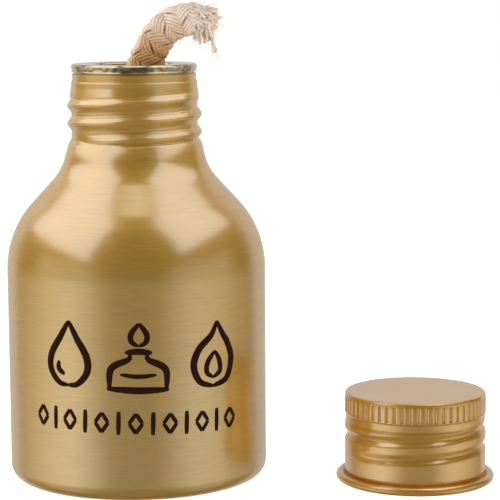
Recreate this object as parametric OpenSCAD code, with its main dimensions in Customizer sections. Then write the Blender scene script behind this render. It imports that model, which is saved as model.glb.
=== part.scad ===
// Pocket alcohol burner: an aluminium screw-neck bottle, a drop-in wick holder with its
// tube, a cotton rope wick, and the screw cap with its liner lying beside the bottle.
// Millimetres. The origin is the centre of the bottle's foot, +Z up, -Y towards the front.

/* [Bottle] */
// Outer diameter of the body
body_d = 46; // [45:0.5:46]
// Height at which the shoulder starts to curve in
shoulder_z = 37.5; // [36:0.5:38]
// Radius of the shoulder's round
shoulder_r = 17.3; // [16.5:0.1:17.5]
// Radius of the hollow curve between shoulder and neck
root_r = 9.5; // [8.5:0.1:9.8]
// Thickness of the bottle's wall
wall = 0.7; // [0.5:0.05:0.8]
// Radius of the rounded edge at the foot
foot_round = 2.6; // [1.5:0.1:3.5]
// Height of the hollow under the foot
foot_hollow = 1; // [0.5:0.1:1.5]

/* [Neck and thread] */
// Height of the rim above the table
rim_z = 73.8; // [73.5:0.1:75]
// Diameter over the thread
thread_d = 23.8; // [23.6:0.05:23.9]
// Depth of the thread
thread_depth = 0.75; // [0.5:0.05:0.8]
// Height that the thread climbs in one turn
pitch = 3.175; // [3:0.025:3.2]
// Diameter of the bore through the neck
bore_d = 20.4; // [20:0.1:20.6]

/* [Wick holder] */
// Outer diameter of the flange
flange_d = 22.3; // [22.2:0.1:22.6]
// Height of the flange's turned-down edge
skirt_h = 1.4; // [1.2:0.1:1.8]
// Thickness of the holder's metal
sheet = 0.4; // [0.3:0.05:0.45]
// Diameter of the dish in the flange's middle
dish_d = 14.2; // [13:0.2:15]
// Depth of the dish
dish_depth = 7.4; // [6.5:0.1:7.4]
// Diameter of the air hole in the dish's floor
vent_d = 1; // [0.6:0.1:1.2]

/* [Wick] */
// Diameter of the cotton rope
wick_d = 6.2; // [5.8:0.1:6.4]
// Outer diameter of the tube that grips the rope
tube_d = 7.2; // [7.2:0.1:7.6]
// Length of the tube
tube_l = 8.8; // [6:0.2:10]

/* [Cap] */
// Outer diameter of the cap's skirt
cap_d = 25; // [24.9:0.1:25.4]
// Height of the cap
cap_h = 15.9; // [15.5:0.1:17]
// Outer diameter of the curled edge
curl_d = 28; // [27.6:0.1:28.6]
// Thickness of the rod-like curl
curl_t = 1.5; // [1.3:0.1:1.6]
// Number of ribs round the cap
ribs = 55; // [48:1:60]
// Thickness of the sealing liner
liner_t = 1.2; // [0.8:0.1:1.6]
// Distance of the cap's axis from the bottle's axis, to the right
cap_x = 49.5; // [45:0.5:60]
// Distance of the cap's axis from the bottle's axis, to the front
cap_y = 6; // [0:0.5:12]

/* [Hidden] */
$fn = 96;

SHOULDER_STEPS = 14; // straight pieces in each curve
ROOT_STEPS = 10;
EDGE_STEPS = 6;
FLARE_STEPS = 5;
HELIX_STEP = 15;     // degrees between two rings of a thread
GOLD = [0.72, 0.56, 0.30];
WARM_GOLD = [0.74, 0.55, 0.33];
NICKEL = [0.80, 0.78, 0.72];
BRASS = [0.78, 0.62, 0.32];
COTTON = [0.90, 0.83, 0.76];
LINER_WHITE = [0.93, 0.93, 0.90];

// bottle
body_r = body_d / 2;
bore_r = bore_d / 2;
hollow_r = 16.5;                // outer edge of the hollow under the foot
hollow_slope = 1;               // width of the slope at that edge
root_z = 57.3;                  // where the hollow curve runs out into the neck
root_end_r = 12.45;             // radius there
neck_lean = 15;                 // slope of the neck there, from the vertical
shoulder_c = [body_r - shoulder_r, shoulder_z];
root_c = [root_end_r + root_r * cos(neck_lean), root_z + root_r * sin(neck_lean)];
between = root_c - shoulder_c;
// slope of the straight stretch that touches both curves, from the vertical
flank = asin((shoulder_r + root_r) / norm(between)) - atan2(between[0], between[1]);

// neck
thread_r = thread_d / 2;
thread_root_r = thread_r - thread_depth;
thread_low_z = 60.9;            // lower end of the neck's threaded stretch
thread_top_z = 67.6;            // upper end of it
collar_r = 11.5;                // radius just above the thread
throat_r = 10.95;               // radius just under the rim
throat_h = 2.3;                 // height of the straight stretch there
neck_slope = 0.5;               // width or height of the slopes beside the thread
lip_r = 10.7;                   // radius of the lip inside the flange's edge
lip_z = rim_z - sheet;
skirt_z = rim_z - skirt_h;
skirt_gap = 0.1;                // between the neck and the flange's edge
throat_top_z = skirt_z - skirt_gap;
bead_z = 61.7;                  // height of the thread's crest on the right, first turn
bead_half = 1.3;                // half the bead's width
bead_turn = [-150, 740];        // the turn of its two ends, in degrees from the right
bead_root = 0.4;                // how far a bead is rooted in the metal behind it
bead_sink = 0.05;               // how far its ends dip under the surface
bead_fade = 60;                 // degrees over which an end rises to full height

// wick holder and tube
flange_r = flange_d / 2;
edge_round = 0.3;               // rounded outer edge of the flange
dish_r = dish_d / 2;
dish_z = rim_z - dish_depth;    // top of the dish's floor
tube_r = tube_d / 2;
tube_in_r = wick_d / 2 + 0.2;
collar_w = 1;                   // width of the tube's collar
tube_top_z = dish_z + sheet;
vent_x = 5.9;                   // distance of the air hole from the axis

// wick: the middle of the rope from its lower end to its burning end, as [x, z]
wick_r = wick_d / 2;
WICK_SIDES = 12;
WICK_ROUTE = [
    [4, 5.5], [3, 7], [1.8, 9], [0.9, 11.5], [0.3, 14.5], [0, 18], [0, 26], [0, 34],
    [0, 42], [0, 50], [0, 58], [0, 66], [0.1, 68], [0.5, 70], [1.2, 72], [2.1, 74],
    [3, 76], [4.1, 78], [5.5, 79.7], [7.5, 80.9], [9.8, 81.5], [12.4, 81.7], [15, 81.4]
];

// cap, in its own place with its axis at the origin
cap_r = cap_d / 2;
cap_wall = 0.4;
cap_in_r = cap_r - cap_wall;
crown_in_r = cap_in_r - 0.2;    // inside the ribbed band
crown_z = 12.2;                 // lower end of the ribbed band inside
rib_low_z = 12.3;
rib_top_z = 15.2;
rib_gap_r = 0.25;               // radius of the gap cut between two ribs
rib_gap_out = 0.05;             // how far outside the surface its axis is
crown_round = 0.9;
waist_r = cap_r - 0.12;         // the plain band under the ribs
waist_top_z = rib_low_z - 0.2;
waist_low_z = rib_low_z - 1.7;
skirt_top_z = rib_low_z - 2;    // where the skirt has its full width again
flare_z = 1.6;                  // where the skirt starts to flare
flare_r = 0.7;
groove_half = 0.95;             // half the width of the rolled groove
groove_z = 6.9;                 // height of the groove on the right, first turn
groove_turn = [-150, 430];
groove_depth = 0.45;
ridge_depth = 0.5;              // how far the rolled groove stands out inside
ridge_half = 0.9;
ridge_root = 0.15;
liner_gap = 0.05;
liner_z = cap_h - cap_wall - liner_t;

// points of an arc about c from angle a to angle b
function arc(c, r, a, b, n) =
    [for (i = [0:n]) let (t = a + (b - a) * i / n) c + r * [cos(t), sin(t)]];

function reversed(list) = [for (i = [len(list) - 1:-1:0]) list[i]];

// Side faces and two end faces of a row of rings with the same number of points.
function ring_faces(rings, n) = concat(
    [[for (i = [0:n - 1]) i]],
    [for (k = [0:rings - 2], i = [0:n - 1])
        let (j = (i + 1) % n) [k * n + j, k * n + i, (k + 1) * n + i, (k + 1) * n + j]],
    [[for (i = [n - 1:-1:0]) (rings - 1) * n + i]]);

// A thread's rounded bead as one solid. It stands height off the surface of radius r,
// outwards, or inwards when height is negative, and is rooted by depth behind that surface.
// turns holds the angles of its two ends, and it sinks into the surface there.
module bead(r, height, half, z, turns, depth) {
    shape = [-1, -0.6, -0.2, 0.2, 0.6, 1];
    count = ceil((turns[1] - turns[0]) / HELIX_STEP);
    side = sign(height);
    root = r - side * depth;
    points = [for (k = [0:count])
        let (a = turns[0] + (turns[1] - turns[0]) * k / count,
             rise = min(1, (a - turns[0]) / bead_fade, (turns[1] - a) / bead_fade),
             tall = height * rise - side * bead_sink,
             c = z + pitch * a / 360)
        each concat(
            [[root * cos(a), root * sin(a), c - half]],
            [for (s = shape) let (q = r + tall - (height * rise) * s * s)
                [q * cos(a), q * sin(a), c + half * s]],
            [[root * cos(a), root * sin(a), c + half]])];
    faces = ring_faces(count + 1, len(shape) + 2);
    polyhedron(points, side > 0 ? [for (f = faces) reversed(f)] : faces, convexity = 10);
}

// The bottle's wall from foot to neck, moved inwards by t.
function wall_line(t) = concat(
    arc([body_r - foot_round, foot_round], foot_round - t, -90, 0, EDGE_STEPS),
    arc(shoulder_c, shoulder_r - t, 0, flank, SHOULDER_STEPS),
    arc(root_c, root_r + t, 180 + flank, 180 + neck_lean, ROOT_STEPS));

module bottle_outline() {
    neck = [
        [thread_root_r + neck_slope, thread_low_z - neck_slope],
        [thread_root_r, thread_low_z], [thread_root_r, thread_top_z],
        [collar_r, thread_top_z + neck_slope], [throat_r, throat_top_z - throat_h],
        [throat_r, throat_top_z], [lip_r, throat_top_z], [lip_r, lip_z], [bore_r, lip_z],
        [bore_r, root_z + 2]
    ];
    polygon(concat(
        [[0, foot_hollow], [hollow_r - hollow_slope, foot_hollow], [hollow_r, 0]],
        wall_line(0), neck, reversed(wall_line(wall)),
        [[hollow_r, wall], [hollow_r - hollow_slope, foot_hollow + wall],
         [0, foot_hollow + wall]]));
}

module bottle() {
    color(GOLD) {
        union() {
            rotate_extrude() bottle_outline();
            bead(thread_root_r, thread_depth, bead_half, bead_z, bead_turn, bead_root);
        }
    }
}

module holder_outline() {
    corner = [flange_r - edge_round, rim_z - edge_round];
    polygon(concat(
        [[tube_r, dish_z], [dish_r, dish_z], [dish_r, rim_z]],
        arc(corner, edge_round, 90, 0, EDGE_STEPS),
        [[flange_r, skirt_z], [lip_r + skirt_gap, skirt_z], [lip_r + skirt_gap, lip_z],
         [dish_r + sheet, lip_z], [dish_r + sheet, dish_z - sheet],
         [tube_r, dish_z - sheet]]));
}

module wick_holder() {
    color(NICKEL)
        difference() {
            rotate_extrude() holder_outline();
            translate([0, vent_x, dish_z - 2 * sheet])
                cylinder(d = vent_d, h = 3 * sheet, $fn = 24);
        }
}

module wick_tube() {
    color(BRASS)
        difference() {
            union() {
                translate([0, 0, tube_top_z - tube_l]) cylinder(r = tube_r, h = tube_l);
                translate([0, 0, dish_z]) cylinder(r = tube_r + collar_w, h = sheet);
            }
            translate([0, 0, tube_top_z - tube_l - 1])
                cylinder(r = tube_in_r, h = tube_l + 2);
        }
}

// The rope's ring at one point of its route, square to the route.
function wick_ring(k) =
    let (last = len(WICK_ROUTE) - 1, p = WICK_ROUTE[k],
         d = WICK_ROUTE[min(k + 1, last)] - WICK_ROUTE[max(k - 1, 0)],
         n = [d[1], -d[0]] / norm(d))
    [for (i = [0:WICK_SIDES - 1]) let (a = 360 * i / WICK_SIDES)
        [p[0] + wick_r * cos(a) * n[0], wick_r * sin(a), p[1] + wick_r * cos(a) * n[1]]];

module wick() {
    rings = len(WICK_ROUTE);
    color(COTTON)
        polyhedron([for (k = [0:rings - 1]) each wick_ring(k)],
                   ring_faces(rings, WICK_SIDES), convexity = 6);
}

module cap_outline() {
    crown_c = [cap_r - crown_round, cap_h - crown_round];
    flare_c = [cap_r + flare_r, flare_z];
    polygon(concat(
        [[0, cap_h]], arc(crown_c, crown_round, 90, 0, EDGE_STEPS),
        [[cap_r, rib_low_z], [waist_r, waist_top_z], [waist_r, waist_low_z],
         [cap_r, skirt_top_z]],
        arc(flare_c, flare_r, 180, 240, FLARE_STEPS),
        reversed(arc(flare_c, flare_r + cap_wall, 180, 235, FLARE_STEPS)),
        [[cap_in_r, crown_z - 0.2], [crown_in_r, crown_z],
         [crown_in_r, cap_h - crown_round], [cap_r - crown_round, cap_h - cap_wall],
         [0, cap_h - cap_wall]]));
}

// The narrow upright gaps that leave the ribs standing.
module rib_gaps() {
    for (i = [0:ribs - 1])
        rotate(i * 360 / ribs)
            translate([cap_r + rib_gap_out, 0, rib_low_z - 0.1])
                cylinder(r = rib_gap_r, h = rib_top_z - rib_low_z + 0.1, $fn = 16);
}

module cap_shell() {
    curl_r = curl_t / 2;
    color(WARM_GOLD)
        translate([cap_x, -cap_y, 0])
            difference() {
                union() {
                    rotate_extrude() cap_outline();
                    rotate_extrude()
                        translate([curl_d / 2 - curl_r, curl_r]) circle(curl_r, $fn = 32);
                    bead(cap_in_r, -ridge_depth, ridge_half, groove_z, groove_turn, ridge_root);
                }
                bead(cap_r, -groove_depth, groove_half, groove_z, groove_turn, bead_root);
                rib_gaps();
            }
}

module cap_liner() {
    edge_r = crown_in_r - liner_gap;
    top_z = liner_z + liner_t;
    color(LINER_WHITE)
        translate([cap_x, -cap_y, 0])
            rotate_extrude()
                polygon([[0, liner_z], [edge_r, liner_z], [edge_r, cap_h - crown_round - 0.1],
                         [cap_r - crown_round - 0.1, top_z], [0, top_z]]);
}

bottle();
wick_holder();
wick_tube();
wick();
cap_shell();
cap_liner();
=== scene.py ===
"""A pocket alcohol burner in its own studio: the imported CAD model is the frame, and detailed
pieces stand for its parts. Lengths are in millimetres until a mesh is made, then in metres."""

import math
import random

import bpy
import numpy as np
from mathutils import Matrix


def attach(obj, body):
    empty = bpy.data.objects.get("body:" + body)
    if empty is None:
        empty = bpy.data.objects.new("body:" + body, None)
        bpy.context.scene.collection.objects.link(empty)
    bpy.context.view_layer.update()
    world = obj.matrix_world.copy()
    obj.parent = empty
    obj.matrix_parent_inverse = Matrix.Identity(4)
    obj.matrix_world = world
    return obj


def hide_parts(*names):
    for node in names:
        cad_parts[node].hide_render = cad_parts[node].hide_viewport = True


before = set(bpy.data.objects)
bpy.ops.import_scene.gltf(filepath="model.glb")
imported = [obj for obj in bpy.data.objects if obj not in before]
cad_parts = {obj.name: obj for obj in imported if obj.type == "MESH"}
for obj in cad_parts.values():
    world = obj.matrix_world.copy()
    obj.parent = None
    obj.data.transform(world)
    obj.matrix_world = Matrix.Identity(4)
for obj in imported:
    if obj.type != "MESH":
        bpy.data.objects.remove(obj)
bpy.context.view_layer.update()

MM = 0.001
TURN = 2 * math.pi

# bottle: the shoulder's curve runs into a hollow curve, the root, which ends under the neck at
# ROOT_END, as (r, z), where the wall still leans inwards
BODY_R = 23.0
WALL = 0.7
FOOT_ROUND = 2.6
FOOT_HOLLOW = 1.0
HOLLOW_R = 16.5
SHOULDER_R = 17.3
SHOULDER_Z = 37.5
ROOT_R = 9.5
ROOT_END = (12.45, 57.3)
NECK_LEAN = math.radians(15)
NECK_FOOT = (11.75, 59.8)
COLLAR_LOW = (11.45, 68.1)
COLLAR_TOP = (10.95, 72.08)
BORE_R = 10.2
LIP_R = 10.7
LIP_Z = 73.35
RIM_Z = 73.8

# screw thread: its crest is at THREAD_Z where the angle is 0, rises by PITCH in each turn, and
# runs from the first to the second angle of THREAD_TURNS, in degrees, fading in and out over FADE
PITCH = 3.175
FADE = 60
THREAD_ROOT_R = 11.15
THREAD_DEPTH = 0.75
THREAD_HALF = 1.3
THREAD_Z = 61.7
THREAD_TURNS = (-150, 740)

# wick holder and tube
SHEET = 0.4
FLANGE_R = 11.15
SKIRT_IN_R = LIP_R + 0.08
SKIRT_Z = 72.4
DISH_R = 7.1
DISH_Z = 66.4
VENT_Y = 5.9
VENT_R = 0.5
TUBE_R = 3.6
TUBE_HOLE_R = TUBE_R + 0.02
TUBE_IN_R = 3.3
TUBE_TOP_Z = 66.8
TUBE_LOW_Z = 58.0

# wick: the middle of the rope as (x, z), from its lower end to its burning end
WICK_ROUTE = [
    (4, 5.5), (3, 7), (1.8, 9), (0.9, 11.5), (0.3, 14.5), (0, 18), (0, 26), (0, 34),
    (0, 42), (0, 50), (0, 58), (0, 66), (0.1, 68), (0.5, 70), (1.2, 72), (2.1, 74),
    (3, 76), (4.1, 78), (5.5, 79.7), (7.5, 80.9), (9.8, 81.5), (12.4, 81.7), (15, 81.4),
]

# cap: GAP_SHARE is the share of the ribs' spacing that the gap between two of them takes, and
# the groove is placed as the thread is
CAP_X = 49.5
CAP_Y = -6.0
CAP_R = 12.5
CAP_WALL = 0.4
CAP_H = 15.9
RIBS = 55
RIB_LOW_Z = 12.3
RIB_TOP_Z = 15.2
RIB_DEPTH = 0.26
RIB_CROWN = 0.04
GAP_SHARE = 0.38
CURL_R = 14.0
CURL_ROUND = 0.75
GROOVE_Z = 6.9
GROOVE_TURNS = (-150, 430)
GROOVE_HALF = 1.0
GROOVE_DEPTH = 0.48
GROOVE_IN_DEPTH = 0.45
GROOVE_ZONE = (2.5, 11.5)
LINER_Z = 14.3
LINER_T = 1.2


# ---------------------------------------------------------------- outlines and meshes

def rounded(points, steps=5):
    """A polyline (r, z) through points (r, z) or (r, z, round), with its corners rounded."""
    line = []
    for i, point in enumerate(points):
        p = np.array(point[:2], float)
        size = point[2] if len(point) > 2 else 0
        if not size or i in (0, len(points) - 1):
            line.append(p)
            continue
        back = np.array(points[i - 1][:2], float) - p
        ahead = np.array(points[i + 1][:2], float) - p
        reach = min(size, 0.49 * np.linalg.norm(back), 0.49 * np.linalg.norm(ahead))
        start = p + back / np.linalg.norm(back) * reach
        end = p + ahead / np.linalg.norm(ahead) * reach
        for k in range(steps + 1):
            t = k / steps
            line.append((1 - t) ** 2 * start + 2 * t * (1 - t) * p + t * t * end)
    return line


def arc(centre, radius, start, end, steps):
    """Points of an arc in the (r, z) plane, from angle start to angle end in radians."""
    angles = [start + (end - start) * k / steps for k in range(steps + 1)]
    return [np.array([centre[0] + radius * math.cos(a), centre[1] + radius * math.sin(a)])
            for a in angles]


def divided(line, step):
    """The line with extra points, so that no two neighbours are further apart than step."""
    result = [np.array(line[0], float)]
    for p in line[1:]:
        start, end = result[-1], np.array(p, float)
        count = max(1, math.ceil(np.linalg.norm(end - start) / step))
        result += [start + (end - start) * k / count for k in range(1, count + 1)]
    return result


def add_object(name, data):
    """A new object in the scene, showing a mesh, a light or a camera."""
    added = bpy.data.objects.new(name, data)
    bpy.context.scene.collection.objects.link(added)
    return added


def mesh_of(name, points, faces):
    """A mesh from points in millimetres."""
    mesh = bpy.data.meshes.new(name)
    mesh.from_pydata((np.asarray(points, float) * MM).tolist(), [], faces)
    return mesh


def add_mesh(name, points, faces, material, body):
    """A smooth mesh object from points in millimetres, riding on a body."""
    mesh = mesh_of(name, points, faces)
    mesh.update()
    mesh.shade_smooth()
    mesh.materials.append(material)
    piece = add_object(name, mesh)
    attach(piece, body)
    return piece


def lathe_mesh(line, around, centre=(0, 0), radius=None):
    """Points and faces of a turned shape. line runs from the axis to the axis, or is closed.
    radius(angle, r, z) gives the radius of each point in place of r."""
    line = np.array(line, float)
    closed = line[0][0] > 1e-6
    if closed and np.allclose(line[0], line[-1]):
        line = line[:-1]
    angles = np.arange(around) * TURN / around
    angle, r = np.meshgrid(angles, line[:, 0])
    z = np.repeat(line[:, 1:2], around, axis=1)
    if radius is not None:
        r = radius(angle, r, z)
    points = np.stack([centre[0] + r * np.cos(angle), centre[1] + r * np.sin(angle), z], 2)
    count = len(line)
    points = points.reshape(-1, 3)
    faces = []
    rows = range(count) if closed else range(count - 1)
    for k in rows:
        low, high = k * around, ((k + 1) % count) * around
        at_start = not closed and k == 0
        at_end = not closed and k == count - 2
        for i in range(around):
            j = (i + 1) % around
            if at_start:
                faces.append((0, high + j, high + i))
            elif at_end:
                faces.append((low + i, low + j, high))
            else:
                faces.append((low + i, low + j, high + j, high + i))
    return points, faces


def without_loose(points, faces):
    """The same mesh with only the points that its faces use."""
    used = sorted({i for face in faces for i in face})
    place = {old: new for new, old in enumerate(used)}
    return points[used], [tuple(place[i] for i in face) for face in faces]


def lathe(name, line, around, material, body, centre=(0, 0), radius=None):
    """A turned piece, made as lathe_mesh says."""
    points, faces = without_loose(*lathe_mesh(line, around, centre, radius))
    return add_mesh(name, points, faces, material, body)


# how far the two plies of a yarn turn from one ring of points to the next, in radians
PLY_TWIST = 1.1


class Tubes:
    """Many thin tubes gathered into one mesh."""

    def __init__(self):
        self.points, self.faces, self.count = [], [], 0

    def add(self, line, radii, sides, outward=(0, 1, 0), ply=0.0):
        """One closed tube along line. ply is how deep the groove between its two plies is."""
        line = np.asarray(line, float)
        n = len(line)
        along = np.gradient(line, axis=0)
        along /= np.linalg.norm(along, axis=1)[:, None]
        side = np.broadcast_to(np.asarray(outward, float), line.shape)
        side = side - (side * along).sum(1)[:, None] * along
        side = side / np.maximum(np.linalg.norm(side, axis=1), 1e-6)[:, None]
        other = np.cross(along, side)
        turn = np.arange(sides) * TURN / sides
        size = np.broadcast_to(np.asarray(radii, float), (n,))[:, None] * np.ones(sides)
        if ply:
            wave = 2 * (turn[None, :] - PLY_TWIST * np.arange(n)[:, None])
            size = size * (1 + ply * np.cos(wave))
        rings = line[:, None, :] + size[:, :, None] * (
            np.cos(turn)[None, :, None] * side[:, None, :]
            + np.sin(turn)[None, :, None] * other[:, None, :])
        self.points.append(rings.reshape(-1, 3))
        base = self.count
        for k in range(n - 1):
            for i in range(sides):
                j = (i + 1) % sides
                a, b = base + k * sides, base + (k + 1) * sides
                self.faces.append((a + i, a + j, b + j, b + i))
        self.faces.append(tuple(base + i for i in reversed(range(sides))))
        self.faces.append(tuple(base + (n - 1) * sides + i for i in range(sides)))
        self.count += n * sides

    def piece(self, name, material, body, slot):
        return add_mesh(name, np.concatenate(self.points), self.faces, material, body)


# ---------------------------------------------------------------- materials

class Nodes:
    """Short ways to add nodes to the node tree of a material or of the world."""

    def __init__(self, tree):
        self.tree = tree

    def node(self, kind, **settings):
        node = self.tree.nodes.new(kind)
        for key, value in settings.items():
            setattr(node, key, value)
        return node

    def link(self, source, target):
        self.tree.links.new(source, target)

    def axes(self, vector):
        """The x, y and z parts of a vector."""
        split = self.node("ShaderNodeSeparateXYZ")
        self.link(vector, split.inputs["Vector"])
        return split.outputs

    def spread(self, source, low, high, new_low=0.0, new_high=1.0):
        """source brought from the range low to high to the range new_low to new_high."""
        node = self.node("ShaderNodeMapRange")
        for key, value in (("From Min", low), ("From Max", high),
                           ("To Min", new_low), ("To Max", new_high)):
            node.inputs[key].default_value = value
        self.link(source, node.inputs["Value"])
        return node.outputs["Result"]

    def math(self, kind, *values):
        """The result of a math node. Each value is a number or another node's output."""
        node = self.node("ShaderNodeMath", operation=kind)
        for socket, value in zip(node.inputs, values):
            if isinstance(value, (int, float)):
                socket.default_value = value
            else:
                self.link(value, socket)
        return node.outputs["Value"]

    def fold(self, kind, first, *others):
        """One value from many, by the same math operation again and again."""
        for other in others:
            first = self.math(kind, first, other)
        return first


class Shader(Nodes):
    """A material with one Principled shader."""

    def __init__(self, name, **values):
        self.material = bpy.data.materials.new(name)
        self.material.use_nodes = True
        super().__init__(self.material.node_tree)
        self.shader = self.tree.nodes["Principled BSDF"]
        self.place = self.node("ShaderNodeTexCoord").outputs["Object"]
        for key, value in values.items():
            self.shader.inputs[key.replace("_", " ")].default_value = value

    def noise(self, stretch, detail, rough=0.55):
        """Noise over the object, with its coordinates stretched by three factors."""
        mapping = self.node("ShaderNodeMapping")
        mapping.inputs["Scale"].default_value = stretch
        self.link(self.place, mapping.inputs["Vector"])
        noise = self.node("ShaderNodeTexNoise")
        noise.inputs["Scale"].default_value = 1.0
        noise.inputs["Detail"].default_value = detail
        noise.inputs["Roughness"].default_value = rough
        self.link(mapping.outputs["Vector"], noise.inputs["Vector"])
        return noise.outputs["Fac"]

    def ramp(self, source, stops):
        """The base colour by source, from stops of (position, colour)."""
        node = self.node("ShaderNodeValToRGB")
        while len(node.color_ramp.elements) < len(stops):
            node.color_ramp.elements.new(0.5)
        for element, (position, colour) in zip(node.color_ramp.elements, stops):
            element.position = position
            element.color = (*colour, 1)
        self.link(source, node.inputs["Fac"])
        self.link(node.outputs["Color"], self.shader.inputs["Base Color"])

    def bump(self, source, depth):
        """A surface that rises by up to depth, in metres, with source."""
        node = self.node("ShaderNodeBump")
        node.inputs["Distance"].default_value = depth
        node.inputs["Strength"].default_value = 1.0
        self.link(source, node.inputs["Height"])
        self.link(node.outputs["Normal"], self.shader.inputs["Normal"])

    def roughness(self, source, low, high):
        """A roughness of low to high, following noise from 0.3 to 0.7."""
        self.link(self.spread(source, 0.3, 0.7, low, high), self.shader.inputs["Roughness"])


def brushed_metal(name, dark, light, rough_low, rough_high, depth, coat_ior, coat_rough):
    """Satin metal with fine lines running round the z axis, under a clear anodised layer."""
    shader = Shader(name, Metallic=0.74, Coat_Weight=1.0, Coat_Roughness=coat_rough,
                    Coat_IOR=coat_ior, Specular_IOR_Level=0.0)
    lines = shader.noise((220, 220, 8000), detail=3.0, rough=0.6)
    cloud = shader.noise((120, 120, 200), detail=2.0)
    mixed = shader.math("ADD", shader.math("MULTIPLY", lines, 0.8),
                        shader.math("MULTIPLY", cloud, 0.2))
    shader.ramp(mixed, [(0.3, dark), (0.7, light)])
    shader.roughness(lines, rough_low, rough_high)
    shader.bump(lines, depth)
    return shader.material


def bottle_gold():
    return brushed_metal("gold_anodised", dark=(0.57, 0.315, 0.036), light=(0.79, 0.44, 0.052),
                         rough_low=0.50, rough_high=0.60, depth=0.000007,
                         coat_ior=2.9, coat_rough=0.23)


def cap_gold():
    return brushed_metal("warm_gold_anodised", dark=(0.71, 0.36, 0.047),
                         light=(0.81, 0.41, 0.056), rough_low=0.42, rough_high=0.50,
                         depth=0.000003, coat_ior=2.5, coat_rough=0.16)


def nickel():
    """Bright plating on pressed sheet, a little wavy."""
    shader = Shader("nickel_plate", Metallic=1.0)
    cloud = shader.noise((400, 400, 400), detail=4.0)
    shader.ramp(cloud, [(0.3, (0.52, 0.41, 0.28)), (0.7, (0.70, 0.58, 0.43))])
    shader.roughness(cloud, 0.08, 0.18)
    shader.bump(shader.noise((300, 300, 700), detail=2.0), 0.00008)
    return shader.material


def brass():
    """Plain drawn tube, with fine lines along it."""
    shader = Shader("drawn_brass", Metallic=1.0)
    lines = shader.noise((6000, 6000, 60), detail=3.0)
    shader.ramp(lines, [(0.3, (0.50, 0.34, 0.13)), (0.7, (0.70, 0.50, 0.22))])
    shader.roughness(lines, 0.28, 0.45)
    shader.bump(lines, 0.00001)
    return shader.material


def cotton(name, tan, cream):
    """Undyed cotton, tan where it leaves the burner and cream in its upper part and at its
    burning end. Its left side along the slant of the bend is made cream too, as a painted
    highlight where light shows through the rope's edge. These places are in metres."""
    shader = Shader(name, Roughness=0.9, Sheen_Weight=0.25, Sheen_Roughness=0.5,
                    Subsurface_Weight=0.25, Subsurface_Scale=0.001)
    fibre = shader.noise((2500, 2500, 2500), detail=3.0)
    cloud = shader.noise((350, 350, 350), detail=2.0)
    across, _, height = shader.axes(shader.place)
    upper = shader.spread(height, 0.0755, 0.0825)
    end = shader.spread(across, 0.007, 0.0105)
    # the left edge of the rope's slant is painted pale: a painted highlight where light shows
    # through it
    lean = shader.math("SUBTRACT", across, shader.math("MULTIPLY", height, 0.49))
    left = shader.spread(lean, -0.0370, -0.0362, 1.0, 0.0)
    # the pale upper part and burning end, together with the painted highlight on the left edge
    pale_and_painted_backlight = shader.fold("MAXIMUM", end, left, upper)
    drift = shader.math("MULTIPLY", shader.math("SUBTRACT", cloud, 0.5), 0.9)
    grain = shader.math("MULTIPLY", shader.math("SUBTRACT", fibre, 0.5), 0.35)
    level = shader.math("ADD", pale_and_painted_backlight, shader.math("ADD", drift, grain))
    middle = tuple((a + b) / 2 for a, b in zip(tan, cream))
    shader.ramp(level, [(0.0, tan), (0.45, middle), (1.0, cream)])
    shader.bump(fibre, 0.00010)
    return shader.material


def foam():
    shader = Shader("white_foam", Roughness=0.7, Subsurface_Weight=0.1,
                    Subsurface_Scale=0.001)
    cells = shader.noise((1800, 1800, 1800), detail=2.0)
    shader.ramp(cells, [(0.3, (0.72, 0.72, 0.68)), (0.7, (0.86, 0.86, 0.83))])
    shader.bump(cells, 0.00005)
    return shader.material


def ink():
    shader = Shader("dark_ink", Roughness=0.7, Specular_IOR_Level=0.1)
    grain = shader.noise((3000, 3000, 3000), detail=2.0)
    shader.ramp(grain, [(0.3, (0.012, 0.003, 0.001)), (0.7, (0.026, 0.007, 0.001))])
    shader.roughness(grain, 0.6, 0.8)
    shader.bump(grain, 0.000005)
    return shader.material


# ---------------------------------------------------------------- screw threads

def turns_height(angle, z, crest_z, turns, half):
    """How far up a rounded helical bead each point is, from 0 beside it to 1 on its crest. The
    bead reaches half to each side of its crest."""
    best = np.zeros_like(z)
    degrees = np.degrees(angle)
    for shift in (-360, 0, 360):
        a = degrees + shift
        rise = np.clip(np.minimum((a - turns[0]) / FADE, (turns[1] - a) / FADE), 0, 1)
        s = np.clip(np.abs(z - crest_z - PITCH * a / 360) / half, 0, 1)
        best = np.maximum(best, rise * (0.5 + 0.5 * np.cos(math.pi * s)) ** 0.8)
    return best


# ---------------------------------------------------------------- bottle

def wall_line(inset):
    """The bottle's wall from foot to neck, moved inwards by inset."""
    shoulder = np.array([BODY_R - SHOULDER_R, SHOULDER_Z])
    root = np.array([ROOT_END[0] + ROOT_R * math.cos(NECK_LEAN),
                     ROOT_END[1] + ROOT_R * math.sin(NECK_LEAN)])
    between = root - shoulder
    flank = (math.asin((SHOULDER_R + ROOT_R) / np.linalg.norm(between))
             - math.atan2(between[0], between[1]))
    foot = np.array([BODY_R - FOOT_ROUND, FOOT_ROUND])
    return (arc(foot, FOOT_ROUND - inset, -math.pi / 2, 0, 12)
            + arc(shoulder, SHOULDER_R - inset, 0, flank, 40)
            + arc(root, ROOT_R + inset, math.pi + flank, math.pi + NECK_LEAN, 24))


def neck_line():
    """The neck from its foot up over the thread, the collar and the lip, and down the bore."""
    return rounded([
        NECK_FOOT, (11.25, 60.5, 0.5), (THREAD_ROOT_R, 61.2, 0.3),
        (THREAD_ROOT_R, COLLAR_LOW[1] - 0.5, 0.3), (*COLLAR_LOW, 0.4),
        (COLLAR_TOP[0], 71.0, 0.4), (*COLLAR_TOP, 0.06),
        (LIP_R - 0.2, COLLAR_TOP[1] + 0.04, 0.03), (LIP_R - 0.2, LIP_Z - 0.75, 0.05),
        (LIP_R, LIP_Z - 0.65, 0.05), (LIP_R, LIP_Z, 0.15), (BORE_R, LIP_Z, 0.15),
        (BORE_R, NECK_FOOT[1] - 0.5)])


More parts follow.
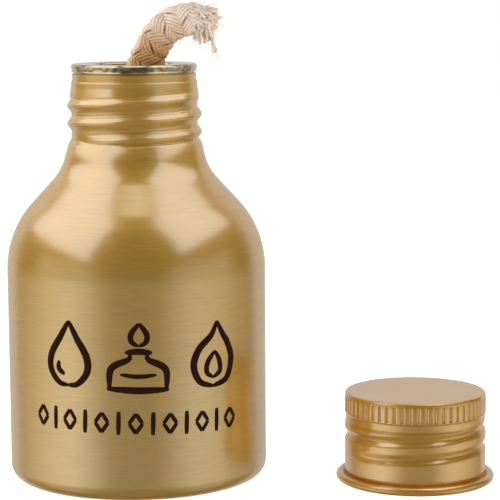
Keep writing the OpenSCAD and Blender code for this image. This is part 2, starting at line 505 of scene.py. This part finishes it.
def bottle_line():
    """The bottle's closed wall, from the middle of its foot round to the middle inside."""
    foot = rounded([(0, FOOT_HOLLOW), (HOLLOW_R - 1, FOOT_HOLLOW, 0.4), (HOLLOW_R, 0, 0.3),
                    (BODY_R - FOOT_ROUND, 0)])[:-1]
    floor = rounded([(BODY_R - FOOT_ROUND, WALL), (HOLLOW_R, WALL, 0.3),
                     (HOLLOW_R - 1, FOOT_HOLLOW + WALL, 0.4), (0, FOOT_HOLLOW + WALL)])[1:]
    outside = divided(wall_line(0), 1.5) + divided(neck_line(), 0.14)
    return foot + outside + divided(wall_line(WALL)[::-1], 2.0) + floor


# the fine lines that the rolling tool left along the thread: how far above its crest, half
# the width and the height of each
ROLLING_LINES = [(0.85, 0.22, 0.08), (-1.15, 0.18, 0.05)]
# the small ledge under the thread, which runs at a slant
LEDGE_Z = 59.95
LEDGE_SLANT = 0.55
LEDGE_DEPTH = 0.14


def bottle_radius(angle, r, z):
    """Adds the rolled thread, its fine lines and its ledge to the outside of the neck."""
    on_neck = (r > 11) & (z > ROOT_END[1] + 0.2)
    ledge_z = LEDGE_Z + LEDGE_SLANT * np.cos(angle)
    ledge = LEDGE_DEPTH * np.clip((ledge_z - z) / 0.15, 0, 1)
    thread = turns_height(angle, z, THREAD_Z, THREAD_TURNS, THREAD_HALF)
    neck = np.maximum(r + ledge, THREAD_ROOT_R + THREAD_DEPTH * thread)
    for above, half, height in ROLLING_LINES:
        neck = neck + height * turns_height(angle, z, THREAD_Z + above, THREAD_TURNS, half)
    return np.where(on_neck, neck, r)


def make_bottle():
    bottle = lathe("bottle_metal", bottle_line(), 360, bottle_gold(), "bottle",
                   radius=bottle_radius)
    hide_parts("bottle")


# ---------------------------------------------------------------- print

INK_T = 0.03
PRINT_TILT = math.radians(-1.5)
PRINT_Z = 25.3


def smooth(points, step):
    """A Catmull-Rom curve through points, with about one sample every step."""
    pts = [np.array(p, float) for p in points]
    pts = [2 * pts[0] - pts[1]] + pts + [2 * pts[-1] - pts[-2]]
    result = []
    for a, b, c, d in zip(pts, pts[1:], pts[2:], pts[3:]):
        count = max(2, math.ceil(np.linalg.norm(c - b) / step))
        for k in range(count):
            t = k / count
            result.append(0.5 * (2 * b + (c - a) * t + (2 * a - 5 * b + 4 * c - d) * t * t
                                 + (3 * b - a - 3 * c + d) * t ** 3))
    return result + [pts[-2]]


def on_body(u, v, r):
    """The point of the body's round wall at u to the right of the front and height v."""
    return (r * math.sin(u / BODY_R), -r * math.cos(u / BODY_R), v)


class Ink:
    """Brush strokes laid on the body's front, gathered into one thin mesh."""

    def __init__(self):
        self.points, self.faces = [], []

    def stroke(self, line, width, centre, thin=0.35):
        """One stroke through line, whose ends have the share thin of its full width."""
        line = np.array(smooth(line, 0.35)) + np.array(centre, float)
        along = np.gradient(line, axis=0)
        along /= np.linalg.norm(along, axis=1)[:, None]
        base, last = len(self.points), len(line) - 1
        for k, (p, d) in enumerate(zip(line, along)):
            share = k / last
            half = width / 2 * (thin + (1 - thin) * math.sin(math.pi * share) ** 0.5)
            for side, out in ((-1, -1), (-1, 1), (1, 1), (1, -1)):
                u, v = p[0] - side * half * d[1], p[1] + side * half * d[0]
                turned = (u * math.cos(PRINT_TILT) - v * math.sin(PRINT_TILT),
                          u * math.sin(PRINT_TILT) + v * math.cos(PRINT_TILT) + PRINT_Z)
                self.points.append(on_body(*turned, BODY_R + out * INK_T))
        for k in range(last):
            a, b = base + 4 * k, base + 4 * k + 4
            self.faces += [(a + i, a + (i + 1) % 4, b + (i + 1) % 4, b + i)
                           for i in range(4)]
        self.faces.append((base + 3, base + 2, base + 1, base))
        self.faces.append(tuple(base + 4 * last + i for i in range(4)))

    def piece(self, name, material):
        return add_mesh(name, self.points, self.faces, material, "bottle")


def both_sides(line, width):
    """A stroke and its mirror image, the left one first."""
    return [([(-u, v) for u, v in line], width), (line, width)]


DROP = [
    *both_sides([(0, 5.6), (1.6, 2.8), (3.5, -0.4), (3.6, -3.0), (1.9, -5.1), (0, -5.5)], 1.3),
    ([(-1.9, -1.4), (-1.9, -2.8), (-0.7, -3.7)], 1.0),
]
LAMP = [
    *both_sides([(1.5, 0.6), (1.7, -0.4), (4.6, -2.0), (4.9, -5.4)], 1.2),
    ([(-5.3, -5.5), (0, -5.7), (5.3, -5.5)], 1.2),
    ([(-2.3, 0.8), (0, 1.0), (2.3, 0.8)], 1.1),
    ([(-3.1, -3.0), (0, -3.3), (3.1, -3.0)], 0.8),
    *both_sides([(0, 5.8), (1.3, 4.0), (1.2, 2.6), (0, 1.9)], 1.0),
]
FLAME = [
    ([(0.6, 5.7), (-0.5, 3.4), (-2.9, 1.1), (-3.9, -1.7), (-2.7, -4.5), (0, -5.5)], 1.3),
    ([(0.6, 5.7), (2.0, 3.3), (3.0, 1.9), (4.0, -0.9), (3.0, -4.3), (0, -5.5)], 1.3),
    ([(0.3, 0.6), (-1.1, -1.2), (-1.3, -3.0), (0, -4.0)], 1.0),
    ([(0.3, 0.6), (1.3, -1.2), (1.4, -3.0), (0, -4.0)], 1.0),
]
SIGNS = [(-11.1, DROP), (1.4, LAMP), (15.0, FLAME)]
BAR = [(0, 2.0), (0, 0), (0, -2.0)]
LOZENGE = [(0, 1.7), (1.15, 0), (0, -1.7), (-1.15, 0), (0, 1.7)]
ROW_Z = -11.4
ROW_START = -16.6
ROW_STEP = 2.95
ROW_MARKS = 13


def make_print():
    """Three signs and, under them, a row of lozenges and bars."""
    front = Ink()
    for across, strokes in SIGNS:
        for line, width in strokes:
            front.stroke(line, width, (across, 0))
    for k in range(ROW_MARKS):
        centre = (ROW_START + ROW_STEP * k, ROW_Z)
        if k % 2:
            front.stroke(BAR, 0.8, centre, thin=0.7)
        else:
            for a, b in zip(LOZENGE, LOZENGE[1:]):
                middle = ((a[0] + b[0]) / 2, (a[1] + b[1]) / 2)
                front.stroke([a, middle, b], 0.7, centre, thin=0.8)
    front.piece("print_front", ink())


# ---------------------------------------------------------------- wick holder and tube

# the waves in the flange's pressed edge: how many around, how strong, and where each starts
EDGE_WAVES = [(7, 0.6, 0.4), (19, 0.5, 1.1), (31, 0.45, 2.0), (47, 0.4, 0.7)]
EDGE_WAVE_DEPTH = 0.06


def holder_radius(angle, r, z):
    """The flange's pressed edge isn't quite round."""
    wave = sum(share * np.sin(around * angle + start) for around, share, start in EDGE_WAVES)
    below_rim = np.clip((RIM_Z - 0.25 - z) / 0.4, 0, 1)
    above_skirt = np.clip((z - SKIRT_Z - 0.15) / 0.3, 0, 1)
    return np.where(r > LIP_R, r + EDGE_WAVE_DEPTH * wave * below_rim * above_skirt, r)


def make_holder():
    """The pressed sheet: dish, flange, and skirt round the bottle's lip."""
    line = rounded([
        (TUBE_HOLE_R, DISH_Z), (DISH_R, DISH_Z, 0.8), (DISH_R, RIM_Z, 0.5),
        (FLANGE_R - 0.3, RIM_Z, 0.06), (FLANGE_R, RIM_Z - 0.32, 0.06),
        (FLANGE_R - 0.22, SKIRT_Z + 0.2, 0.12), (FLANGE_R - 0.1, SKIRT_Z + 0.07, 0.06),
        (FLANGE_R - 0.12, SKIRT_Z, 0.04), (SKIRT_IN_R, SKIRT_Z, 0.06),
        (SKIRT_IN_R, RIM_Z - SHEET, 0.12), (DISH_R + SHEET, RIM_Z - SHEET, 0.3),
        (DISH_R + SHEET, DISH_Z - SHEET, 0.9), (TUBE_HOLE_R, DISH_Z - SHEET),
        (TUBE_HOLE_R, DISH_Z)])
    holder = lathe("wick_holder_metal", divided(line, 0.35), 360, nickel(), "holder",
                   radius=holder_radius)
    cut_vent(holder)
    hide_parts("wick_holder")


def cut_vent(holder):
    """Drills the air hole through the dish's floor."""
    points, faces = without_loose(*lathe_mesh(
        [(0, DISH_Z - 2), (VENT_R, DISH_Z - 2), (VENT_R, DISH_Z + 2), (0, DISH_Z + 2)],
        32, (0, VENT_Y)))
    drill = add_object("drill", mesh_of("drill", points, faces))
    cut = holder.modifiers.new("vent", "BOOLEAN")
    cut.operation = "DIFFERENCE"
    cut.solver = "EXACT"
    cut.object = drill
    result = holder.evaluated_get(bpy.context.evaluated_depsgraph_get())
    holder.data = bpy.data.meshes.new_from_object(result)
    holder.modifiers.clear()
    bpy.data.objects.remove(drill)


def make_tube():
    """The tube that grips the rope, with its collar on the dish's floor."""
    line = rounded([
        (TUBE_IN_R, TUBE_LOW_Z, 0.1), (TUBE_R, TUBE_LOW_Z, 0.1), (TUBE_R, DISH_Z, 0.05),
        (TUBE_R + 1, DISH_Z, 0.15), (TUBE_R + 1, DISH_Z + SHEET, 0.15),
        (TUBE_R, DISH_Z + SHEET, 0.05), (TUBE_R - 0.02, TUBE_TOP_Z, 0.1),
        (TUBE_IN_R, TUBE_TOP_Z, 0.1), (TUBE_IN_R, TUBE_LOW_Z)])
    tube = lathe("wick_tube_metal", line, 96, brass(), "holder")
    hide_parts("wick_tube")


# ---------------------------------------------------------------- wick

# the braid: strands each way round, yarns in each, and how the strands run
STRANDS = 4
YARNS = 5
YARN_R = 0.28
YARN_GAP = 0.51
BRAID_R = 2.6
CROSSING_WAVE = 0.34
TURN_LENGTH = 15.7
CORE_R = 2.15
ROUTE_STEP = 0.36
THINNING = 0.05
THIN_FROM = 70
THIN_OVER = 12

# the frayed end: the middle and the half sizes of its bunches of yarn
FRAY_LENGTH = 4.0
FRAY_R = 2.35
UPPER_BUNCH = (13.4, 0, 81.6), (2.2, 2.5, 2.4)
LOWER_BUNCH = (12.4, -0.4, 78.5), (1.8, 2.0, 1.4)
HANGING_END = (14.4, -0.9, 75.8)
UPPER_YARNS = 100
LOWER_YARNS = 64
HANGING_YARNS = 6
FRAY_SEED = 7

# loose fibres on each frayed yarn, above the bend and all over the rope
YARN_FIBRES = 4
BEND_FIBRES = 10
ROPE_FIBRES = 260


def even_route():
    """Points along the wick's middle at even steps, with the distance to each."""
    line = np.array(smooth([(x, 0, z) for x, z in WICK_ROUTE], 0.1))
    gone = np.concatenate([[0], np.cumsum(np.linalg.norm(np.diff(line, axis=0), axis=1))])
    count = round(gone[-1] / ROUTE_STEP)
    steps = np.linspace(0, gone[-1], count + 1)
    return np.stack([np.interp(steps, gone, line[:, i]) for i in range(3)], 1), steps


class Route:
    """The wick's middle line, with the directions across it."""

    def __init__(self):
        self.line, self.steps = even_route()
        self.along = np.gradient(self.line, axis=0)
        self.along /= np.linalg.norm(self.along, axis=1)[:, None]
        self.right = np.stack([self.along[:, 2], 0 * self.steps, -self.along[:, 0]], 1)
        self.back = np.cross(self.along, self.right)
        self.length = self.steps[-1]

    def size(self):
        """How thick the rope is along the route: it thins a little towards its burning end."""
        return 1 - THINNING * np.clip((self.steps - THIN_FROM) / THIN_OVER, 0, 1)

    def outward(self, at, angle):
        """The way outwards at one angle round point number at."""
        return math.cos(angle) * self.right[at] + math.sin(angle) * self.back[at]

    def ring(self, angle, radius):
        """Points at that angle and radius from the middle, and the way outwards there."""
        outward = (np.cos(angle)[:, None] * self.right + np.sin(angle)[:, None] * self.back)
        return self.line + radius[:, None] * outward, outward


def braid(route):
    """Four strands each way round, over one and under one, five yarns to a strand."""
    rope = Tubes()
    last = np.searchsorted(route.steps, route.length - FRAY_LENGTH)
    turn = TURN * route.steps / TURN_LENGTH
    size = route.size()
    for way in (1, -1):
        weave = way * np.cos(STRANDS * turn)
        for strand in range(STRANDS):
            angle = way * turn + TURN * strand / STRANDS
            for yarn in range(YARNS):
                across = (yarn - (YARNS - 1) / 2) * YARN_GAP
                crown = 0.07 if yarn in (0, YARNS - 1) else 0
                radius = size * (BRAID_R + CROSSING_WAVE * weave - crown)
                shifted = angle + across * math.sqrt(2) / BRAID_R
                points, outward = route.ring(shifted, radius)
                start = yarn % 2
                rope.add(points[start:last], YARN_R, 6, outward[start:last], ply=0.16)
    core, outward = route.ring(0 * turn, 0 * turn)
    rope.add(core[:last + 2], CORE_R * size[:last + 2], 12, outward[:last + 2])
    return rope


def bent(start, direction, end, droop, rng, wave=0.12, count=14):
    """A loose yarn from start, setting off in direction, to end, with a little waviness."""
    start, end = np.array(start, float), np.array(end, float)
    reach = np.linalg.norm(end - start)
    first = start + np.array(direction, float) * reach * 0.55
    second = end + np.array(droop, float) * reach * 0.45
    phase, pace = rng.uniform(0, TURN), rng.uniform(1.5, 3)
    line = []
    for k in range(count):
        t = k / (count - 1)
        p = ((1 - t) ** 3 * start + 3 * t * (1 - t) ** 2 * first
             + 3 * t * t * (1 - t) * second + t ** 3 * end)
        swing = wave * t * math.sin(phase + pace * TURN * t)
        line.append(p + np.array([swing, wave * t * math.cos(phase + pace * TURN * t),
                                  swing * 0.6]))
    return line


def within(rng, centre, size):
    """A random point near the skin of an ellipsoid."""
    d = np.array([rng.gauss(0, 1) for _ in range(3)])
    d /= np.linalg.norm(d)
    return np.array(centre) + d * np.array(size) * rng.uniform(0.45, 1) ** 0.5


def yarn_end(k, rng):
    """Where frayed yarn number k ends, and the way it comes back from there."""
    if k < UPPER_YARNS:
        return within(rng, *UPPER_BUNCH), (-0.9, 0, rng.uniform(-0.2, 0.5))
    if k < UPPER_YARNS + LOWER_YARNS:
        return within(rng, *LOWER_BUNCH), (rng.uniform(-0.5, 0.4), 0, 0.9)
    spread = [rng.uniform(-0.25, 0.25) for _ in range(3)]
    return np.array(HANGING_END) + spread, (-0.1, 0, 1.0)


def fray(route, rope, rng):
    """The open end: an upper bunch, which belongs to the rope, a lower tuft and one strand
    that hangs down. Gives the tuft and the lines of all the yarns."""
    tuft = Tubes()
    lines = []
    first = np.searchsorted(route.steps, route.length - FRAY_LENGTH - 2.0)
    size = route.size()[first]
    for k in range(UPPER_YARNS + LOWER_YARNS + HANGING_YARNS):
        angle, radius = rng.uniform(0, TURN), FRAY_R * size * rng.uniform(0, 1) ** 0.5
        outward = route.outward(first, angle)
        start = route.line[first] + radius * outward
        end, droop = yarn_end(k, rng)
        along = route.along[first] + 0.25 * outward
        line = bent(start, along, end, droop, rng)
        radii = np.linspace(0.32, 0.24, len(line))
        (rope if k < UPPER_YARNS else tuft).add(line, radii, 6, ply=0.15)
        lines.append(line)
    return tuft, lines


class Fuzz:
    """Fine fibres standing off the wick."""

    def __init__(self, rng):
        self.rng = rng
        self.hair = Tubes()

    def fibre(self, start, direction, length, thick):
        """One fibre that sets off in direction and wanders off it."""
        wander = np.array([self.rng.gauss(0, 1) for _ in range(3)])
        end = start + length * (direction + 0.35 * wander)
        line = bent(start, direction, end, 0.5 * wander - direction, self.rng, 0.06, 7)
        self.hair.add(line, np.linspace(thick, thick * 0.5, 7), 3, (0.3, 1, 0.2))

    def on_yarns(self, lines):
        """Fibres along the outer part of each frayed yarn."""
        for line in lines:
            for _ in range(YARN_FIBRES):
                at = self.rng.randint(6, len(line) - 1)
                tangent = line[at] - line[at - 1]
                tangent = tangent / np.linalg.norm(tangent)
                self.fibre(np.array(line[at]), tangent, self.rng.uniform(0.5, 1.5), 0.04)

    def above_bend(self):
        """Longer fibres that lie over the top of the bend, towards the burning end."""
        uniform = self.rng.uniform
        for _ in range(BEND_FIBRES):
            start = np.array([uniform(7.2, 9.5), uniform(-1.2, 0.6), uniform(83.2, 83.7)])
            end = start + np.array([uniform(2.2, 3.6), uniform(-0.5, 0.2), uniform(0.5, 1.2)])
            line = bent(start, (0.95, 0, 0.3), end, (-0.9, 0, -0.2), self.rng, 0.05, 9)
            self.hair.add(line, np.linspace(0.07, 0.03, 9), 4, (0, 1, 0.1))

    def on_rope(self, route):
        """Short fibres all over the braid."""
        size = route.size()
        for _ in range(ROPE_FIBRES):
            at = self.rng.randint(8, len(route.steps) - 14)
            outward = route.outward(at, self.rng.uniform(0, TURN))
            start = route.line[at] + 2.75 * size[at] * outward
            way = self.rng.choice((-1, 1))
            self.fibre(start, 0.45 * outward + 0.7 * way * route.along[at],
                       self.rng.uniform(0.4, 1.0), 0.025)


def make_wick():
    """The rope with its frayed end, and the tuft and fibres that go with it."""
    route = Route()
    rng = random.Random(FRAY_SEED)
    cloth = cotton("cotton_rope", (0.56, 0.29, 0.10), (0.78, 0.62, 0.52))
    tubes = braid(route)
    loose, lines = fray(route, tubes, rng)
    fuzz = Fuzz(rng)
    fuzz.on_yarns(lines)
    fuzz.above_bend()
    fuzz.on_rope(route)
    rope = tubes.piece("wick_rope", cloth, "wick", "cotton_rope")
    tuft = loose.piece("wick_tuft", cloth, "wick", "cotton_rope")
    hair = fuzz.hair.piece("wick_fibres", cloth, "wick", "cotton_rope")
    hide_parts("wick")


# ---------------------------------------------------------------- cap and liner

def cap_line():
    """The cap's closed wall: the outside from the middle of its top, the curl, the inside."""
    curl = arc((CURL_R - CURL_ROUND, CURL_ROUND), CURL_ROUND, math.radians(165),
               math.radians(-200), 28)
    outside = rounded([(0, CAP_H), (CAP_R - 0.1, CAP_H, 0.9), (CAP_R, RIB_TOP_Z - 0.2, 0.5),
                       (CAP_R, RIB_LOW_Z, 0.08), (CAP_R - 0.15, RIB_LOW_Z - 0.25, 0.15),
                       (CAP_R - 0.15, RIB_LOW_Z - 1.5, 0.3), (CAP_R, RIB_LOW_Z - 1.9, 0.3),
                       (CAP_R, 2.0, 0.2), (CAP_R - 0.15, 1.5, 0.1), (CAP_R - 0.15, 0.9),
                       tuple(curl[0])], 7)
    inside = rounded([curl[-1], (CAP_R - 0.42, 1.6, 0.4), (CAP_R - CAP_WALL, 12.0, 0.1),
                      (CAP_R - 0.6, 12.2, 0.1), (CAP_R - 0.6, 14.8, 0.6),
                      (CAP_R - 1.1, CAP_H - CAP_WALL, 0.2), (0, CAP_H - CAP_WALL)])
    return divided(outside[:-1], 0.16) + curl + divided(inside[1:], 0.25)


def cap_radius(angle, r, z):
    """Cuts the gaps between the ribs and rolls the thread's groove in. off_rib is 0 in the
    middle of a rib and 1 in the middle of a gap."""
    off_rib = np.abs(((angle * RIBS / TURN) % 1) * 2 - 1)
    gap = np.clip((off_rib - 1 + GAP_SHARE) / GAP_SHARE, 0, 1) ** 1.2
    ribbed_zone = (np.clip((z - RIB_LOW_Z) / 0.25, 0, 1)
                   * np.clip((RIB_TOP_Z + 0.1 - z) / 0.5, 0, 1) ** 0.7)
    ribbed = r - ribbed_zone * (RIB_DEPTH * gap + RIB_CROWN * off_rib ** 2)
    groove = turns_height(angle, z, GROOVE_Z, GROOVE_TURNS, GROOVE_HALF)
    grooved = (z > GROOVE_ZONE[0]) & (z < GROOVE_ZONE[1])
    outer = r > CAP_R - 0.2
    inner = grooved & (r > CAP_R - 0.5) & (r < CAP_R - 0.3)
    outside = ribbed - np.where(grooved, GROOVE_DEPTH * groove, 0)
    return np.where(outer, outside, np.where(inner, r - GROOVE_IN_DEPTH * groove, r))


def make_cap():
    cap = lathe("cap_metal", cap_line(), RIBS * 12, cap_gold(), "cap",
                (CAP_X, CAP_Y), cap_radius)
    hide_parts("cap_shell")


def make_liner():
    """The foam disc under the cap's top, with a groove pressed where the rim meets it."""
    edge = CAP_R - 0.65
    line = rounded([(0, LINER_Z), (10.3, LINER_Z, 0.2), (10.5, LINER_Z + 0.12, 0.1),
                    (11.1, LINER_Z + 0.12, 0.1), (11.3, LINER_Z, 0.2), (edge, LINER_Z, 0.1),
                    (edge, LINER_Z + 0.6, 0.2), (11.5, LINER_Z + LINER_T, 0.1),
                    (0, LINER_Z + LINER_T)])
    liner = lathe("cap_liner_foam", divided(line, 0.6), 180, foam(), "cap",
                  (CAP_X, CAP_Y))
    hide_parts("cap_liner")


# ---------------------------------------------------------------- studio

CAMERA_AT = (20.31, -355.03, 87.44)
CAMERA_DOWN = math.radians(7.548)
CAMERA_ROLL = math.radians(-0.354)
CAMERA_LENS = 144.1
SENSOR_WIDTH = 36


def pose_from(right, up, back, place):
    """The matrix of a camera or light with these axes, which looks away from back."""
    pose = Matrix.Identity(4)
    for column, part in enumerate((right, up, back, place)):
        for row in range(3):
            pose[row][column] = part[row]
    return pose


def make_camera():
    """A long lens that looks a little down at the burner."""
    data = bpy.data.cameras.new("camera")
    data.lens = CAMERA_LENS
    data.sensor_width = SENSOR_WIDTH
    data.clip_start = 0.01
    camera = add_object("camera", data)
    forward = np.array([0, math.cos(CAMERA_DOWN), -math.sin(CAMERA_DOWN)])
    up = np.array([0, math.sin(CAMERA_DOWN), math.cos(CAMERA_DOWN)])
    right = np.array([1.0, 0, 0])
    cos, sin = math.cos(CAMERA_ROLL), math.sin(CAMERA_ROLL)
    camera.matrix_world = pose_from(cos * right + sin * up, cos * up - sin * right, -forward,
                                    np.array(CAMERA_AT) * MM)
    bpy.context.scene.camera = camera


def light_wall(name, place, facing, width, height, level, mirrored=True):
    """A glowing panel, placed and sized in metres. level is how bright it looks, 1 being
    white. Polished metal shows it unless mirrored is false."""
    data = bpy.data.lights.new(name, "AREA")
    data.shape = "RECTANGLE"
    data.size = width
    data.size_y = height
    data.energy = math.pi * width * height * level
    light = add_object(name, data)
    back = -np.array(facing, float)
    back /= np.linalg.norm(back)
    right = np.cross((0, 0, 1.0), back)
    right /= np.linalg.norm(right)
    light.matrix_world = pose_from(right, np.cross(back, right), back, place)
    light.visible_camera = False
    light.visible_glossy = mirrored


class Room(Nodes):
    """The world's shader, made of levels by direction. x, y and z are the parts of the unit
    vector towards each point of the surroundings."""

    def __init__(self):
        world = bpy.data.worlds.new("studio")
        bpy.context.scene.world = world
        world.use_nodes = True
        super().__init__(world.node_tree)
        self.tree.nodes.clear()
        self.x, self.y, self.z = self.axes(
            self.node("ShaderNodeTexCoord").outputs["Generated"])

    def show(self, level, blue):
        """Lights the scene with level, and blue for its blue share, while the camera itself
        sees a white backdrop."""
        room, white = self.node("ShaderNodeBackground"), self.node("ShaderNodeBackground")
        white.inputs["Color"].default_value = (1, 1, 1, 1)
        mix, output = self.node("ShaderNodeMixShader"), self.node("ShaderNodeOutputWorld")
        colour = self.node("ShaderNodeCombineColor")
        for source, socket in zip((level, level, blue), colour.inputs):
            self.link(source, socket)
        self.link(colour.outputs["Color"], room.inputs["Color"])
        self.link(self.node("ShaderNodeLightPath").outputs["Is Camera Ray"], mix.inputs["Fac"])
        self.link(room.outputs["Background"], mix.inputs[1])
        self.link(white.outputs["Background"], mix.inputs[2])
        self.link(mix.outputs["Shader"], output.inputs["Surface"])


# the level of the dimmest parts of the room
DIMMEST = 0.04


def make_world():
    """A white backdrop behind, a pale ceiling, a dim front, and a table and wings that are
    pale at the sides and a little warm."""
    room = Room()
    sideways = room.math("ABSOLUTE", room.x)
    backdrop = room.spread(room.y, 0.50, 0.70, 0.0, 0.66)
    ceiling = room.math("MULTIPLY", room.spread(room.z, 0.945, 0.985, 0.0, 1.4),
                        room.spread(sideways, 0.19, 0.25, 1.0, 0.0))
    table = room.fold("MULTIPLY", room.spread(sideways, 0.35, 0.80, 0.42, 1.5),
                      room.spread(room.z, -0.10, -0.24, 0.45, 1.0),
                      room.spread(room.x, -0.9, 0.9, 1.0, 0.75),
                      room.spread(room.y, -0.45, 0.50, 1.0, 0.30),
                      room.spread(room.z, -0.14, -0.03, 1.0, 0.0),
                      room.spread(room.z, -0.40, -0.28, 0.3, 1.0))
    wings = room.fold("MULTIPLY", room.spread(sideways, 0.40, 0.70, 0.0, 0.45),
                      room.spread(room.y, 0.0, 0.2, 1.0, 0.0),
                      room.spread(room.z, 0.16, 0.30, 1.0, 0.0))
    level = room.fold("MAXIMUM", backdrop, ceiling, table, wings, DIMMEST)
    room.show(level, room.math("MULTIPLY", level, room.spread(room.y, 0.3, 0.6, 0.8, 1.0)))


FLOOR_HALF = 6.0
FLOOR_SQUARES = 12


def make_floor():
    """A pale floor, in metres, that glows a little so that it stays nearly white."""
    shader = Shader("pale_floor", Roughness=0.9)
    grain = shader.noise((40, 40, 40), detail=3.0)
    shader.ramp(grain, [(0.3, (0.92, 0.92, 0.92)), (0.7, (0.94, 0.94, 0.94))])
    shader.shader.inputs["Emission Color"].default_value = (1, 1, 1, 1)
    shader.shader.inputs["Emission Strength"].default_value = 0.8
    steps = np.linspace(-FLOOR_HALF, FLOOR_HALF, FLOOR_SQUARES + 1)
    points = [(x, y, 0) for y in steps for x in steps]
    row = len(steps)
    faces = [(j * row + i, j * row + i + 1, (j + 1) * row + i + 1, (j + 1) * row + i)
             for j in range(FLOOR_SQUARES) for i in range(FLOOR_SQUARES)]
    mesh = bpy.data.meshes.new("floor")
    mesh.from_pydata(points, [], faces)
    mesh.materials.append(shader.material)
    floor = add_object("floor", mesh)
    floor.visible_glossy = False


def make_studio():
    """The room, with two panels that the metal mirrors and three lights that it doesn't."""
    make_world()
    make_floor()
    light_wall("left", (-0.125, -0.05, 0.236), (0.336, 0, -0.08), 0.28, 0.27, 1.45)
    light_wall("right", (0.122, -0.045, 0.252), (-0.290, 0, -0.08), 0.237, 0.25, 1.35)
    light_wall("low_left", (-0.4, -0.1, 0.12), (1, 0, 0), 0.8, 0.24, 1.7, mirrored=False)
    light_wall("low_right", (0.4, -0.1, 0.12), (-1, 0, 0), 0.8, 0.24, 1.5, mirrored=False)
    light_wall("key", (-0.25, -1.1, 0.35), (0.25, 1.1, -0.32), 0.7, 0.5, 1.1, mirrored=False)
    bpy.context.scene.view_settings.view_transform = "Standard"


make_camera()
make_wick()
make_bottle()
make_print()
make_holder()
make_tube()
make_cap()
make_liner()
make_studio()
